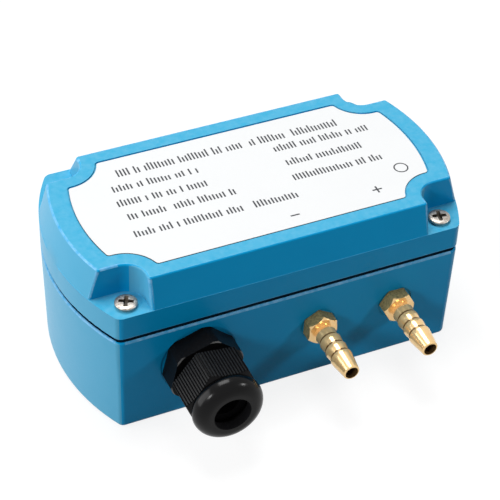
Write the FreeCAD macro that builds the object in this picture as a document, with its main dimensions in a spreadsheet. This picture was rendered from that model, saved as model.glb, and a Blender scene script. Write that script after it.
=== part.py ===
import FreeCAD, Part
import math
import os

import Sketcher

# Differential pressure transmitter: a two-part die-cast housing with a cable gland
# and two hose fittings on its front wall.
#
# Frame: origin at the centre of the underside, X along the housing, +Y to the back,
# +Z up.  The gland and the hose fittings leave the front wall towards -Y.
# Lengths are millimetres and angles are degrees.

SIZES = {
    # housing outline
    "housing_length": 131.4,        # over the crowns of the two bowed ends
    "housing_width": 68.0,          # over the crown's foot, without the deeper back
    "back_depth": 4.6,              # how much further the back wall stands out
    "end_radius": 70.0,             # bow of the short ends, seen from above
    "corner_radius": 3.0,
    "base_height": 36.3,
    "base_draft": 1.3,
    "base_wall": 5.0,
    "base_floor": 4.0,
    "rim_round": 0.7,
    "bottom_round": 1.6,
    # seam between the base and the cover
    "seam_gap": 1.4,
    "seam_depth": 1.2,
    "groove_inset": 1.3,
    "groove_width": 1.6,
    "groove_depth": 1.5,
    "seal_side_gap": 0.1,
    # cover screws and the bosses that take them
    "screw_inset_end": 13.2,
    "screw_inset_side": 5.4,
    "screw_boss_radius": 7.5,
    "screw_shank": 3.9,
    "screw_length": 20.0,
    "screw_head": 7.0,
    "screw_head_height": 2.6,
    "screw_head_edge": 1.3,
    "screw_head_top": 4.2,
    "screw_cross": 3.9,
    "screw_cross_width": 1.05,
    "screw_cross_depth": 1.5,
    "screw_point": 0.6,
    "screw_fit": 0.05,
    "screw_clearance": 0.3,
    "screw_tap_spare": 2.0,
    # cover
    "skirt_height": 8.5,
    "crown_height": 10.5,
    "crown_inset": 0.1,
    "crown_taper": 15.4,
    "crown_back_taper": 35.2,
    "cover_top": 3.0,
    "notch_radius": 6.2,
    "notch_wall": 2.8,
    "notch_round": 1.0,
    "crown_round": 0.8,
    "skirt_round": 0.5,
    # label recess and the plate in it
    "recess_depth": 0.5,
    "recess_inset_side": 7.8,
    "recess_inset_end": 9.1,
    "recess_notch_radius": 11.0,
    "recess_corner": 1.6,
    "plate_gap": 0.55,
    "plate_thickness": 0.35,
    # wall-mounting holes in the underside, below the cover screws
    "mount_hole": 3.3,
    "mount_hole_depth": 8.0,
    # front wall
    "port_height": 21.3,
    "seat_depth": 0.65,
    "seat_margin": 0.4,
    "gland_from_screw": 21.4,
    "port_from_screw": 16.0,
    "port_pitch": 27.1,
    # cable gland
    "gland_hex": 22.2,
    "gland_hex_corner": 24.4,
    "gland_hex_length": 7.4,
    "gland_hex_bevel": 0.35,
    "gland_hex_turn": 18.0,
    "gland_thread": 18.6,
    "gland_thread_inside": 8.0,
    "gland_bore": 12.4,
    "gland_fit": 0.1,
    "barrel_length": 11.6,
    "barrel_wall": 1.9,
    "barrel_bevel": 0.75,
    "seal_bore": 9.0,
    "seal_length": 10.0,
    "seal_stand": 1.9,
    "o_ring_width": 1.0,
    "o_ring_height": 0.9,
    "lock_nut_hex": 22.0,
    "lock_nut_height": 4.5,
    "dome_gap": 1.8,
    "dome_nut_hex": 21.7,
    "dome_nut_turn": -8.0,
    "dome_nut_length": 17.2,
    "dome_radius": 11.35,
    "dome_opening": 12.0,
    "dome_lip": 1.1,
    "dome_neck": 1.65,
    "dome_neck_lean": 65.0,
    "dome_nut_fit": 0.1,
    "rib_pitch": 0.98,
    "rib_depth": 0.42,
    "rib_groove": 0.52,
    # hose fittings
    "fitting_hex": 9.5,
    "fitting_hex_length": 4.3,
    "low_fitting_turn": 28.0,
    "high_fitting_turn": -2.0,
    "fitting_bore": 4.2,
    "fitting_bore_floor": 1.0,
    "fitting_thread": 7.8,
    "fitting_thread_past": 1.0,
    "fitting_fit": 0.1,
    "barb_radius": 3.6,
    "barb_root": 3.08,
    "barb_land": 0.6,
    "neck_radius": 2.88,
    "neck_length": 0.6,
    "neck_shoulder_radius": 3.45,
    "neck_shoulder": 1.8,
    "barb_neck": 5.0,
    "barb_pitch": 3.8,
    "barb_tip_length": 7.2,
    "barb_tip_radius": 2.65,
    "barb_tip_bevel": 0.27,
    "fitting_nut_hex": 12.0,
    "fitting_nut_height": 3.0,
    "spigot_radius": 2.0,
    "spigot_bore": 2.4,
    "spigot_length": 7.0,
    # inner tubes
    "tube_wall": 1.4,
    "tube_overlap": 5.0,
    "tube_end_gap": 1.0,
    # circuit board
    "board_end_gap": 9.5,           # from the cover screws' axes
    "board_back_gap": 4.0,          # from the cavity's wall
    "board_front_gap": 10.0,
    "board_thickness": 1.6,
    "board_height": 10.0,
    "board_screw_inset": 5.0,
    "post_radius": 3.2,
    "board_screw": 2.4,
    "board_screw_head": 4.6,
    "board_screw_head_height": 1.8,
    "board_screw_slot": 0.6,
    "board_screw_slot_depth": 0.9,
    "board_screw_length": 6.0,
    "board_screw_spare": 0.5,
    # sensor
    "sensor_back_gap": 4.0,
    "sensor_length": 24.0,
    "sensor_depth": 12.0,
    "sensor_height": 14.0,
    "sensor_port_pitch": 12.0,
    "sensor_round": 0.8,
    # terminals
    "terminal_inset": 13.0,
    "terminal_from_back": 21.0,
    "terminal_pitch": 5.0,
    "terminal_depth": 8.0,
    "terminal_height": 10.0,
    "terminal_wire_side": 3.2,
    "terminal_wire_height": 2.5,
    "terminal_wire_depth": 6.0,
    "terminal_screw": 3.0,
    "terminal_screw_length": 3.5,
    "terminal_slot": 0.6,
    "terminal_slot_depth": 1.0,
    # adjusters
    "trimmer_from_back": 13.0,
    "trimmer_gap": 4.5,
    "trimmer_pitch": 11.0,
    "trimmer_side": 7.0,
    "trimmer_height": 4.8,
    "trimmer_screw": 3.6,
    "trimmer_screw_length": 3.4,
    "trimmer_fit": 0.05,
    "trimmer_float": 0.1,
    "trimmer_slot": 0.6,
    # other parts on the board
    "chip_x": -8.0,
    "chip_from_back": 25.0,
    "chip_length": 10.0,
    "chip_width": 6.2,
    "chip_height": 2.0,
    "transistor_from_back": 7.0,
    "transistor_length": 10.0,
    "transistor_width": 4.6,
    "transistor_height": 14.0,
    "capacitor_pitch": 15.5,
    "capacitor_from_back": 5.0,
    "capacitor_radius": 3.2,
    "capacitor_height": 9.0,
}

TERMINALS = 3
BARBS = 3
RIBS_PER_FLAT = 12
HEX_SIDES = 6
HALF_SIDE = 180.0 / HEX_SIDES
SHEET = "Sizes"

doc = FreeCAD.newDocument("PressureTransmitter")


# ---------------------------------------------------------------- sizes

def fill_sheet():
    """Write every driving size into the sheet, with its alias."""
    sheet = doc.addObject("Spreadsheet::Sheet", SHEET)
    for row, (name, value) in enumerate(SIZES.items(), start=1):
        sheet.set(f"A{row}", name)
        sheet.set(f"B{row}", str(value))
        sheet.setAlias(f"B{row}", name)
    doc.recompute()
    return sheet


class Size:
    """A number kept together with the sheet expression that gives it."""

    def __init__(self, value, text):
        self.value = value
        self.text = text

    def __add__(self, other):
        other = as_size(other)
        return Size(self.value + other.value, f"({self.text} + {other.text})")

    def __sub__(self, other):
        other = as_size(other)
        return Size(self.value - other.value, f"({self.text} - {other.text})")

    def __mul__(self, other):
        other = as_size(other)
        return Size(self.value * other.value, f"({self.text} * {other.text})")

    def __truediv__(self, other):
        other = as_size(other)
        return Size(self.value / other.value, f"({self.text} / {other.text})")

    def __radd__(self, other):
        return as_size(other) + self

    def __rsub__(self, other):
        return as_size(other) - self

    def __rmul__(self, other):
        return as_size(other) * self

    def __neg__(self):
        return as_size(0.0) - self

    def root(self):
        return Size(math.sqrt(self.value), f"sqrt({self.text})")


def as_size(item):
    if isinstance(item, Size):
        return item
    return Size(float(item), f"{float(item):.9f}")


def cosine(angle):
    """Cosine of a Size in degrees."""
    return Size(math.cos(math.radians(angle.value)), f"cos({angle.text} * 1deg)")


def sine(angle):
    """Sine of a Size in degrees."""
    return Size(math.sin(math.radians(angle.value)), f"sin({angle.text} * 1deg)")


sheet = fill_sheet()


class Sizes:
    """Gives each cell of the sheet as a Size: s.housing_length and so on."""

    def __getattr__(self, name):
        return Size(float(sheet.get(name)), f"{SHEET}.{name}")


s = Sizes()


def bind(item, prop, size):
    """Tie one property to its sheet expression."""
    item.setExpression(prop, as_size(size).text)


# ---------------------------------------------------------------- sketches

class Arc:
    """An edge that turns about a centre instead of running straight."""

    def __init__(self, centre, radius, turn):
        self.centre = centre
        self.radius = as_size(radius)
        self.turn = turn


class Outline:
    """A sketch whose corners and radii are all tied to the sheet."""

    def __init__(self, body, name, plane="XY_Plane", offset=0.0):
        self.sketch = body.newObject("Sketcher::SketchObject", name)
        origin = [item for item in body.Origin.OriginFeatures if item.Role == plane]
        self.sketch.AttachmentSupport = (origin[0], [""])
        self.sketch.MapMode = "FlatFace"
        bind(self.sketch, "AttachmentOffset.Base.z", offset)

    def tie(self, kind, *target):
        size = as_size(target[-1])
        index = self.sketch.addConstraint(Sketcher.Constraint(kind, *target[:-1], size.value))
        self.sketch.setExpression(f"Constraints[{index}]", size.text)

    def place(self, geometry, end, point):
        self.tie("DistanceX", -1, 1, geometry, end, point[0])
        self.tie("DistanceY", -1, 1, geometry, end, point[1])

    def loop(self, corners):
        """Close a loop through corners given as (x, y) or (x, y, Arc to the next corner)."""
        edges = []
        for index, corner in enumerate(corners):
            following = corners[(index + 1) % len(corners)]
            edges.append(self.edge(corner, following))
        for index, (geometry, first, last) in enumerate(edges):
            after, after_first, after_last = edges[(index + 1) % len(edges)]
            self.sketch.addConstraint(
                Sketcher.Constraint("Coincident", geometry, last, after, after_first))
            self.place(geometry, first, corners[index])
        return self

    def edge(self, corner, following):
        start = FreeCAD.Vector(as_size(corner[0]).value, as_size(corner[1]).value, 0)
        end = FreeCAD.Vector(as_size(following[0]).value, as_size(following[1]).value, 0)
        if len(corner) == 2:
            return self.sketch.addGeometry(Part.LineSegment(start, end)), 1, 2
        arc = corner[2]
        centre = FreeCAD.Vector(as_size(arc.centre[0]).value, as_size(arc.centre[1]).value, 0)
        circle = Part.Circle(centre, FreeCAD.Vector(0, 0, 1), arc.radius.value)
        first, last = (start, end) if arc.turn > 0 else (end, start)
        low = math.atan2(first.y - centre.y, first.x - centre.x)
        high = math.atan2(last.y - centre.y, last.x - centre.x)
        if high <= low:
            high += 2 * math.pi
        geometry = self.sketch.addGeometry(Part.ArcOfCircle(circle, low, high))
        self.tie("Radius", geometry, arc.radius)
        if arc.turn > 0:
            return geometry, 1, 2
        return geometry, 2, 1

    def circle(self, x, y, radius):
        centre = FreeCAD.Vector(as_size(x).value, as_size(y).value, 0)
        circle = Part.Circle(centre, FreeCAD.Vector(0, 0, 1), as_size(radius).value)
        geometry = self.sketch.addGeometry(circle)
        self.tie("Radius", geometry, radius)
        self.place(geometry, 3, (x, y))
        return self

    def rectangle(self, x, y, length, width):
        """A rectangle about its centre."""
        return self.loop([
            (x - length / 2, y - width / 2),
            (x + length / 2, y - width / 2),
            (x + length / 2, y + width / 2),
            (x - length / 2, y + width / 2),
        ])

    def polygon(self, corner_radius, turn, sides=HEX_SIDES):
        return self.loop([
            (corner_radius * cosine(turn + 360.0 * side / sides),
             corner_radius * sine(turn + 360.0 * side / sides))
            for side in range(sides)
        ])


# ---------------------------------------------------------------- features

def new_body(label):
    body = doc.addObject("PartDesign::Body", label)
    body.Label = label
    return body


def solid_feature(body, kind, name, outline):
    feature = body.newObject(f"PartDesign::{kind}", name)
    feature.Profile = outline.sketch
    feature.Refine = True
    return feature


def pad(body, name, outline, length, down=False):
    feature = solid_feature(body, "Pad", name, outline)
    feature.Reversed = down
    bind(feature, "Length", length)
    doc.recompute()
    return feature


def draft(body, name, angle, neutral, wanted, below=False):
    """Lean side faces inwards, upwards or below from the level face at the height neutral."""
    tip = body.Tip
    sides = [f"Face{number}" for number, face in enumerate(tip.Shape.Faces, start=1)
             if wanted(face)]
    level = [f"Face{number}" for number, face in enumerate(tip.Shape.Faces, start=1)
             if near(face.BoundBox.ZMin, neutral) and near(face.BoundBox.ZMax, neutral)]
    feature = body.newObject("PartDesign::Draft", name)
    feature.Base = (tip, sides)
    feature.NeutralPlane = (tip, level[:1])
    feature.Reversed = below
    bind(feature, "Angle", angle)
    doc.recompute()
    return feature


def pocket(body, name, outline, depth=None, forward=False):
    """Cut against the sketch's normal, or along it when forward; right through by default."""
    before = body.Shape.Volume
    feature = solid_feature(body, "Pocket", name, outline)
    feature.Reversed = forward
    if depth is None:
        feature.Type = "ThroughAll"
    else:
        bind(feature, "Length", depth)
    doc.recompute()
    expect_less(feature, before)
    return feature


def revolve(body, name, outline):
    feature = solid_feature(body, "Revolution", name, outline)
    feature.ReferenceAxis = (outline.sketch, ["V_Axis"])
    feature.Angle = 360
    doc.recompute()
    return feature


def groove(body, name, outline):
    before = body.Shape.Volume
    feature = solid_feature(body, "Groove", name, outline)
    feature.ReferenceAxis = (outline.sketch, ["V_Axis"])
    feature.Angle = 360
    doc.recompute()
    expect_less(feature, before)
    return feature


def around(body, name, feature, outline, count):
    """Repeat a feature around the normal of its own sketch."""
    pattern = body.newObject("PartDesign::PolarPattern", name)
    pattern.Originals = [feature]
    pattern.Axis = (outline.sketch, ["N_Axis"])
    pattern.Angle = 360
    pattern.Occurrences = count
    pattern.Refine = True
    body.Tip = pattern
    doc.recompute()
    return pattern


def dress(body, kind, name, size_name, size, wanted):
    """Fillet or chamfer the edges of the tip for which wanted(middle, edge) is true."""
    tip = body.Tip
    names = [f"Edge{number}" for number, edge in enumerate(tip.Shape.Edges, start=1)
             if wanted(middle(edge), edge)]
    if not names:
        raise ValueError(f"{body.Label}: no edges for {name}")
    feature = body.newObject(f"PartDesign::{kind}", name)
    feature.Base = (tip, names)
    bind(feature, size_name, size)
    doc.recompute()
    return feature


def fillet(body, name, radius, wanted):
    return dress(body, "Fillet", name, "Radius", radius, wanted)


def chamfer(body, name, size, wanted):
    return dress(body, "Chamfer", name, "Size", size, wanted)


def middle(edge):
    return edge.valueAt((edge.FirstParameter + edge.LastParameter) / 2)


def near(value, size, reach=0.05):
    return abs(value - as_size(size).value) < reach


def is_upright(edge):
    return abs(edge.BoundBox.ZLength) > 0.8 * edge.Length


def expect_less(feature, before):
    if feature.Shape.Volume > before - 1e-3:
        raise ValueError(f"{feature.Label} removed nothing")


def stand_forward(item, x):
    """Turn a piece built along +Z to point out of the front wall at x."""
    item.Placement = FreeCAD.Placement(
        FreeCAD.Vector(0, 0, 0), FreeCAD.Rotation(FreeCAD.Vector(1, 0, 0), 90))
    bind(item, "Placement.Base.x", x)
    bind(item, "Placement.Base.y", -seat)
    bind(item, "Placement.Base.z", s.port_height)


# ---------------------------------------------------------------- shared places

half_length = s.housing_length / 2
half_width = s.housing_width / 2
screw_x = half_length - s.screw_inset_end
screw_y = half_width - s.screw_inset_side
land_height = s.base_height + s.seam_gap
ledge_height = land_height + s.skirt_height
total_height = ledge_height + s.crown_height
seat = half_width - s.seat_depth
inner_wall = half_width - s.base_wall
board_top = s.board_height + s.board_thickness
board_half = screw_x - s.board_end_gap
board_back = inner_wall - s.board_back_gap
board_front = s.board_front_gap - inner_wall
gland_x = s.gland_from_screw - screw_x
high_x = screw_x - s.port_from_screw
low_x = high_x - s.port_pitch
thread_end = s.base_wall - s.seat_depth + s.fitting_nut_height + s.fitting_thread_past
sensor_x = (low_x + high_x) / 2
sensor_front = board_back - s.sensor_back_gap - s.sensor_depth
terminal_x = s.terminal_inset - board_half
terminal_y = board_back - s.terminal_from_back
trimmer_y = board_back - s.trimmer_from_back
chip_y = board_back - s.chip_from_back
transistor_y = board_back - s.transistor_from_back
capacitor_y = board_back - s.capacitor_from_back
span_x = sensor_x - (s.sensor_length + s.trimmer_side) / 2 - s.trimmer_gap
zero_x = span_x - s.trimmer_pitch
CORNERS = [(1, 1), (-1, 1), (-1, -1), (1, -1)]
HEX_CORNER = 1 / math.cos(math.pi / HEX_SIDES)


def bowed_outline(inset):
    """The housing seen from above: straight sides and bowed ends that meet in sharp corners."""
    front = half_width - inset
    back = front + s.back_depth
    radius = s.end_radius - inset
    centre = half_length - s.end_radius
    front_end = centre + (radius * radius - front * front).root()
    back_end = centre + (radius * radius - back * back).root()
    return [
        (front_end, -front, Arc((centre, 0.0), radius, 1)),
        (back_end, back),
        (-back_end, back, Arc((-centre, 0.0), radius, 1)),
        (-front_end, -front),
    ]


def plan_outline(inset):
    """The housing seen from above: straight sides, bowed ends and rounded corners."""
    radius = s.end_radius - inset
    centre = half_length - s.end_radius
    turn = s.corner_radius - inset
    reach = radius - turn
    corners = []
    for side in (half_width - inset, half_width - inset + s.back_depth):
        across = side - turn
        along = (reach * reach - across * across).root()
        corners.append((side, across, centre + along,
                        centre + along * radius / reach, across * radius / reach))
    (front, front_y, front_x, front_end_x, front_end_y) = corners[0]
    (back, back_y, back_x, back_end_x, back_end_y) = corners[1]
    return [
        (front_x, -front, Arc((front_x, -front_y), turn, 1)),
        (front_end_x, -front_end_y, Arc((centre, 0.0), radius, 1)),
        (back_end_x, back_end_y, Arc((back_x, back_y), turn, 1)),
        (back_x, back),
        (-back_x, back, Arc((-back_x, back_y), turn, 1)),
        (-back_end_x, back_end_y, Arc((-centre, 0.0), radius, 1)),
        (-front_end_x, -front_end_y, Arc((-front_x, -front_y), turn, 1)),
        (-front_x, -front),
    ]


def notched_half(side, inset_end, notch_radius):
    """Half of the housing from above, drawn in and passing inside two cover screws."""
    radius = s.end_radius - inset_end
    centre = half_length - s.end_radius
    notch_low = screw_y - notch_radius
    end = centre + (radius * radius - notch_low * notch_low).root()
    if side.value > screw_y.value:
        notch_end = [(screw_x - notch_radius, screw_y), (screw_x - notch_radius, side)]
    else:
        rise = screw_y - side
        notch_end = [(screw_x - (notch_radius * notch_radius - rise * rise).root(), side)]
    right = [(end, notch_low), (screw_x, notch_low, Arc((screw_x, screw_y), notch_radius, -1))]
    right += notch_end
    left = [(-x, y) for x, y in reversed(notch_end)]
    left[-1] += (Arc((-screw_x, screw_y), notch_radius, -1),)
    left += [(-screw_x, notch_low), (-end, notch_low, Arc((-centre, 0.0), radius, 1))]
    return right + left


def notched_outline(inset_side, inset_end, notch_radius, back=0.0):
    """The housing from above, drawn in and passing inside all four cover screws."""
    side = half_width - inset_side
    upper = notched_half(side + back, inset_end, notch_radius)
    lower = []
    for corner in notched_half(side, inset_end, notch_radius):
        turned = (-corner[0], -corner[1])
        if len(corner) == 3:
            arc = corner[2]
            turned += (Arc((-as_size(arc.centre[0]), -as_size(arc.centre[1])),
                           arc.radius, arc.turn),)
        lower.append(turned)
    return upper + lower


# ---------------------------------------------------------------- housing

def make_base_housing():
    body = new_body("base_housing")
    outer = Outline(body, "BaseOutline").loop(plan_outline(0.0))
    pad(body, "Tray", outer, s.base_height)
    draft(body, "TrayDraft", s.base_draft, s.base_height,
          lambda face: face.BoundBox.ZLength > s.base_height.value / 2, below=True)
    fillet(body, "BottomRound", s.bottom_round, lambda at, edge: near(at.z, 0.0))
    fillet(body, "RimRound", s.rim_round, lambda at, edge: near(at.z, s.base_height))

    land = Outline(body, "LandOutline", offset=s.base_height - s.seam_depth)
    land.loop(plan_outline(s.seam_depth))
    pad(body, "SeamLand", land, s.seam_gap + s.seam_depth)

    cavity = Outline(body, "CavityOutline", offset=land_height)
    cavity.loop(notched_outline(s.base_wall, s.base_wall, s.screw_boss_radius, s.back_depth))
    pocket(body, "Cavity", cavity, land_height - s.base_floor)

    first = s.seam_depth + s.groove_inset
    second = first + s.groove_width
    ring = Outline(body, "SealGrooveOutline", offset=land_height)
    for inset in (first, second):
        ring.loop(notched_outline(inset, inset, s.screw_boss_radius - s.base_wall + inset,
                                  s.back_depth))
    pocket(body, "SealGroove", ring, s.groove_depth)

    tapped = Outline(body, "TappedHoles", offset=land_height)
    for side_x, side_y in CORNERS:
        tapped.circle(side_x * screw_x, side_y * screw_y, s.screw_shank / 2 + s.screw_fit)
    pocket(body, "CoverScrewHoles", tapped, s.screw_length - s.skirt_height + s.screw_tap_spare)

    mounting = Outline(body, "MountingHoles")
    for side_x, side_y in CORNERS:
        mounting.circle(side_x * screw_x, side_y * screw_y, s.mount_hole / 2)
    pocket(body, "WallMountHoles", mounting, s.mount_hole_depth, forward=True)

    seats = Outline(body, "Seats", "XZ_Plane", seat)
    seats.circle(gland_x, s.port_height, s.gland_hex_corner / 2 + s.seat_margin)
    for x in (low_x, high_x):
        seats.circle(x, s.port_height, s.fitting_hex * HEX_CORNER / 2 + s.seat_margin)
    pocket(body, "SpotFaces", seats, forward=True)

    holes = Outline(body, "WallHoles", "XZ_Plane")
    holes.circle(gland_x, s.port_height, s.gland_thread / 2 + s.gland_fit)
    for x in (low_x, high_x):
        holes.circle(x, s.port_height, s.fitting_thread / 2 + s.fitting_fit)
    pocket(body, "FrontWallHoles", holes, forward=True)

    posts = Outline(body, "PostOutline", offset=s.base_floor)
    for x, y in board_screw_places():
        posts.circle(x, y, s.post_radius)
    pad(body, "BoardPosts", posts, s.board_height - s.base_floor)
    pilot = Outline(body, "PilotHoles", offset=s.board_height)
    for x, y in board_screw_places():
        pilot.circle(x, y, s.board_screw / 2 + s.screw_fit)
    pocket(body, "BoardScrewHoles", pilot,
           s.board_screw_length - s.board_thickness + s.board_screw_spare)
    return body


def make_cover():
    body = new_body("cover")
    skirt = Outline(body, "SkirtOutline", offset=land_height).loop(plan_outline(0.0))
    pad(body, "Skirt", skirt, s.skirt_height)
    fillet(body, "SkirtRound", s.skirt_round, lambda at, edge: near(at.z, land_height))

    crown = Outline(body, "CrownOutline", offset=ledge_height)
    crown.loop(bowed_outline(s.crown_inset))
    pad(body, "Crown", crown, s.crown_height)

    notches = Outline(body, "NotchOutline", offset=ledge_height)
    past_x = half_length + s.corner_radius
    past_y = half_width + s.back_depth + s.corner_radius
    for side_x, side_y in CORNERS:
        notches.loop(corner_notch(side_x, side_y, past_x, past_y))
    pocket(body, "ScrewNotches", notches, s.crown_height + s.corner_radius, forward=True)
    draft(body, "CrownDraft", s.crown_taper, ledge_height, is_crown_side)
    draft(body, "CrownBackDraft", s.crown_back_taper, ledge_height, is_crown_back)
    mid_crown = ledge_height + s.crown_height / 2
    fillet(body, "NotchRounds", s.notch_round,
           lambda at, edge: near(at.z, mid_crown, 0.6) and is_convex_corner(at))
    fillet(body, "CrownRound", s.crown_round, lambda at, edge: near(at.z, total_height))

    recess = Outline(body, "RecessOutline", offset=total_height)
    recess.loop(notched_outline(s.recess_inset_side, s.recess_inset_end,
                                s.recess_notch_radius))
    pocket(body, "LabelRecess", recess, s.recess_depth)
    recess_middle = total_height - s.recess_depth / 2
    fillet(body, "RecessCorners", s.recess_corner,
           lambda at, edge: near(at.z, recess_middle) and is_upright(edge))

    cavity = Outline(body, "CavityOutline", offset=land_height)
    cavity.loop(notched_outline(s.base_wall, s.base_wall, s.notch_radius + s.notch_wall))
    pocket(body, "Cavity", cavity, total_height - s.recess_depth - s.cover_top - land_height,
           forward=True)

    holes = Outline(body, "ScrewHoles", offset=land_height)
    for side_x, side_y in CORNERS:
        holes.circle(side_x * screw_x, side_y * screw_y, s.screw_shank / 2 + s.screw_clearance)
    pocket(body, "ScrewClearance", holes, s.skirt_height, forward=True)
    return body


def corner_notch(side_x, side_y, past_x, past_y):
    """One screw pocket, open to both outer faces, with a round inner corner."""
    inner_x = side_x * (screw_x - s.notch_radius)
    inner_y = side_y * (screw_y - s.notch_radius)
    centre = (side_x * screw_x, side_y * screw_y)
    turn = side_x * side_y
    return [
        (inner_x, centre[1], Arc(centre, s.notch_radius, turn)),
        (centre[0], inner_y),
        (side_x * past_x, inner_y),
        (side_x * past_x, side_y * past_y),
        (inner_x, side_y * past_y),
    ]


def is_crown_side(face):
    """True on the crown's front and its two bowed ends."""
    if face.Surface.TypeId == "Part::GeomCylinder":
        return near(face.Surface.Radius, s.end_radius - s.crown_inset)
    return near(face.BoundBox.YMax, s.crown_inset - half_width)


def is_crown_back(face):
    return near(face.BoundBox.YMin, half_width + s.back_depth - s.crown_inset)


def is_convex_corner(at):
    """True on the crown's upright edges where a notch meets a side or an end."""
    on_side = near(abs(at.x), screw_x - s.notch_radius, 0.6) and abs(at.y) > screw_y.value
    on_end = near(abs(at.y), screw_y - s.notch_radius, 0.6) and abs(at.x) > screw_x.value
    return on_side or on_end


def make_cover_gasket():
    body = new_body("cover_gasket")
    first = s.seam_depth + s.groove_inset + s.seal_side_gap
    second = s.seam_depth + s.groove_inset + s.groove_width - s.seal_side_gap
    ring = Outline(body, "GasketOutline", offset=land_height - s.groove_depth)
    for inset in (first, second):
        ring.loop(notched_outline(inset, inset, s.screw_boss_radius - s.base_wall + inset,
                                  s.back_depth))
    pad(body, "Gasket", ring, s.groove_depth)
    return body


def make_name_plate():
    body = new_body("name_plate")
    outline = Outline(body, "PlateOutline", offset=total_height - s.recess_depth)
    outline.loop(notched_outline(s.recess_inset_side + s.plate_gap,
                                 s.recess_inset_end + s.plate_gap,
                                 s.recess_notch_radius + s.plate_gap))
    pad(body, "Plate", outline, s.plate_thickness)
    fillet(body, "PlateCorners", s.recess_corner - s.plate_gap,
           lambda at, edge: is_upright(edge))
    return body


# ---------------------------------------------------------------- screws

def turned(profile):
    """A solid of revolution about Z from (radius, height) points, closed along the axis."""
    points = [FreeCAD.Vector(radius, 0, height) for radius, height in profile]
    face = Part.Face(Part.makePolygon(points + points[:1]))
    return face.revolve(FreeCAD.Vector(0, 0, 0), FreeCAD.Vector(0, 0, 1), 360)


def slotted(screw, length, width, depth, top):
    """Cut one straight slot, along X, into a screw whose head ends at the height top."""
    return screw.cut(Part.makeBox(length, width, depth + top,
                                  FreeCAD.Vector(-length / 2, -width / 2, top - depth)))


def make_cover_screws():
    """Pan heads with a cross recess, seated on the cover's ledge."""
    shank = s.screw_shank.value / 2
    head = s.screw_head.value / 2
    top = s.screw_head_height.value
    point = s.screw_point.value
    end = -s.screw_length.value
    screw = turned([
        (0, end),
        (shank - point, end),
        (shank, end + point),
        (shank, 0),
        (head, 0),
        (head, s.screw_head_edge.value),
        (s.screw_head_top.value / 2, top),
        (0, top),
    ])
    cross = s.screw_cross.value
    width = s.screw_cross_width.value
    for length, across in ((cross, width), (width, cross)):
        screw = slotted(screw, length, across, s.screw_cross_depth.value, top)
    return screw_set("cover_screws", screw, cover_screw_places(), ledge_height)


def make_board_screws():
    """Slotted cheese heads that hold the circuit board on its four posts."""
    shank = s.board_screw.value / 2
    head = s.board_screw_head.value / 2
    top = s.board_screw_head_height.value
    end = -s.board_screw_length.value
    screw = turned([(0, end), (shank, end), (shank, 0), (head, 0), (head, top), (0, top)])
    screw = slotted(screw, head * 3, s.board_screw_slot.value,
                    s.board_screw_slot_depth.value, top)
    return screw_set("board_screws", screw, board_screw_places(), board_top)


def screw_set(label, screw, places, height):
    """One node that holds a screw at each place."""
    copies = []
    for x, y in places:
        copy = screw.copy()
        copy.translate(FreeCAD.Vector(x.value, y.value, height.value))
        copies.append(copy)
    feature = doc.addObject("Part::Feature", label)
    feature.Label = label
    feature.Shape = Part.makeCompound(copies)
    return feature


def cover_screw_places():
    return [(side_x * screw_x, side_y * screw_y) for side_x, side_y in CORNERS]


def board_screw_places():
    along = board_half - s.board_screw_inset
    low = board_front + s.board_screw_inset
    high = board_back - s.board_screw_inset
    return [(side * along, y) for side in (-1, 1) for y in (low, high)]


# ---------------------------------------------------------------- cable gland

barrel_bore = s.gland_thread / 2 - s.barrel_wall
barrel_end = s.gland_hex_length + s.barrel_length
dome_start = s.gland_hex_length + s.dome_gap


def make_gland_body():
    """Hexagon, threaded shank into the housing and clamping barrel in one moulding."""
    body = new_body("gland_body")
    hexagon = Outline(body, "HexOutline")
    hexagon.polygon(s.gland_hex * HEX_CORNER / 2, s.gland_hex_turn)
    pad(body, "Hexagon", hexagon, s.gland_hex_length)

    trim = Outline(body, "CornerTrim", "XZ_Plane")
    corner = s.gland_hex_corner / 2
    past = s.gland_hex
    bevel = s.gland_hex_bevel
    trim.loop([
        (corner, -bevel),
        (past, -bevel),
        (past, s.gland_hex_length + bevel),
        (corner - bevel * 2, s.gland_hex_length + bevel),
        (corner, s.gland_hex_length - bevel),
    ])
    groove(body, "TurnedCorners", trim)

    inner_end = s.base_wall - s.seat_depth + s.gland_thread_inside
    shank = Outline(body, "ShankOutline", offset=-inner_end)
    shank.circle(0.0, 0.0, s.gland_thread / 2)
    pad(body, "Shank", shank, barrel_end + inner_end)

    bore = Outline(body, "BoreOutline", offset=barrel_end)
    bore.circle(0.0, 0.0, s.gland_bore / 2)
    pocket(body, "Bore", bore)
    pouch = Outline(body, "SealPouch", offset=barrel_end)
    pouch.circle(0.0, 0.0, barrel_bore)
    pocket(body, "SealSeat", pouch, s.seal_length - s.seal_stand)
    chamfer(body, "BarrelTaper", s.barrel_bevel,
            lambda at, edge: near(at.z, barrel_end) and near(edge.BoundBox.XLength,
                                                             s.gland_thread))

    ring = Outline(body, "RingGroove")
    ring.circle(0.0, 0.0, s.gland_thread / 2 + s.o_ring_width + s.gland_fit)
    ring.circle(0.0, 0.0, s.gland_thread / 2)
    pocket(body, "RingGrooveCut", ring, s.o_ring_height, forward=True)
    stand_forward(body, gland_x)
    return body


def make_gland_o_ring():
    return ring_piece("gland_o_ring", gland_x, 0.0, s.o_ring_height,
                      s.gland_thread / 2 + s.gland_fit / 2,
                      s.gland_thread / 2 + s.o_ring_width + s.gland_fit / 2)


def make_gland_seal():
    return ring_piece("gland_seal", gland_x, barrel_end - s.seal_length + s.seal_stand,
                      s.seal_length, s.seal_bore / 2, barrel_bore - s.gland_fit)


def ring_piece(label, x, start, length, inner, outer):
    """A plain ring about a port's axis, start being its distance out of the wall."""
    body = new_body(label)
    outline = Outline(body, "RingOutline", offset=start)
    outline.circle(0.0, 0.0, outer)
    outline.circle(0.0, 0.0, inner)
    pad(body, "Ring", outline, length)
    stand_forward(body, x)
    return body


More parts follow.
